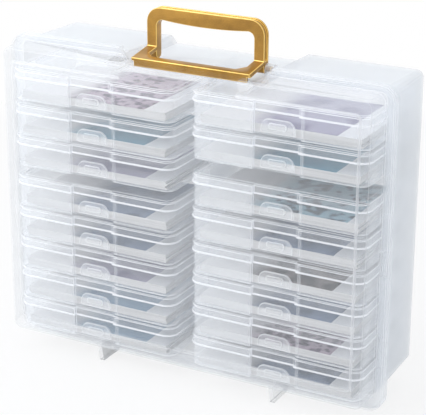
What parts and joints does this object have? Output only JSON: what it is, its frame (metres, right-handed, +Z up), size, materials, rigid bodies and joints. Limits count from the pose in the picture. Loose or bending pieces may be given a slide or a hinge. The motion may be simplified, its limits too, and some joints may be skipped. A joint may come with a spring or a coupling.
{
  "type": "photo keeper case",
  "caption": "Translucent carrying case with a hinged clear cover and a folding latch handle, holding two stacks of lidded boxes for photo prints.",
  "frame": {"origin": "on the ground, under the middle of the case's width and depth", "axes": "+X to the right seen from the cover, +Y from the cover to the back, +Z up"},
  "size_m": [0.385, 0.12, 0.3425],
  "materials": {
    "body_plastic": "milky translucent moulded polypropylene, fine satin",
    "cover_plastic": "clearer translucent moulded polypropylene, smooth",
    "handle_plastic": "moulded plastic, semi-gloss, brownish gold",
    "pin_steel": "bright drawn wire",
    "tray_plastic": "thin translucent polypropylene",
    "lid_plastic": "thin translucent polypropylene",
    "print_paper": "stack of resin-coated photo paper"
  },
  "bodies": {
    "case": {"case_body": "body_plastic", "hinge_pin_left": "pin_steel", "hinge_pin_right": "pin_steel", "tray_left_1": "tray_plastic", "lid_left_1": "lid_plastic", "prints_left_1": "print_paper", "tray_left_2": "tray_plastic", "lid_left_2": "lid_plastic", "prints_left_2": "print_paper", "tray_left_3": "tray_plastic", "lid_left_3": "lid_plastic", "prints_left_3": "print_paper", "tray_left_4": "tray_plastic", "lid_left_4": "lid_plastic", "prints_left_4": "print_paper", "tray_left_5": "tray_plastic", "lid_left_5": "lid_plastic", "prints_left_5": "print_paper", "tray_left_6": "tray_plastic", "lid_left_6": "lid_plastic", "prints_left_6": "print_paper", "tray_left_7": "tray_plastic", "lid_left_7": "lid_plastic", "prints_left_7": "print_paper", "tray_left_8": "tray_plastic", "lid_left_8": "lid_plastic", "prints_left_8": "print_paper", "tray_right_1": "tray_plastic", "lid_right_1": "lid_plastic", "prints_right_1": "print_paper", "tray_right_2": "tray_plastic", "lid_right_2": "lid_plastic", "prints_right_2": "print_paper", "tray_right_3": "tray_plastic", "lid_right_3": "lid_plastic", "prints_right_3": "print_paper", "tray_right_4": "tray_plastic", "lid_right_4": "lid_plastic", "prints_right_4": "print_paper", "tray_right_5": "tray_plastic", "lid_right_5": "lid_plastic", "prints_right_5": "print_paper", "tray_right_6": "tray_plastic", "lid_right_6": "lid_plastic", "prints_right_6": "print_paper", "tray_right_7": "tray_plastic", "lid_right_7": "lid_plastic", "prints_right_7": "print_paper", "tray_right_8": "tray_plastic", "lid_right_8": "lid_plastic", "prints_right_8": "print_paper"},
    "cover": {"front_cover": "cover_plastic"},
    "handle": {"carry_handle": "handle_plastic"}
  },
  "joints": [
    {"name": "cover_hinge", "type": "hinge", "parent": "case", "child": "cover", "pos_m": [0, -0.0105, 0.008], "axis": [1, 0, 0], "range_deg": [0, 180]},
    {"name": "handle_fold", "type": "hinge", "parent": "case", "child": "handle", "pos_m": [0, -0.003, 0.2995], "axis": [-1, 0, 0], "range_deg": [0, 90]}
  ]
}
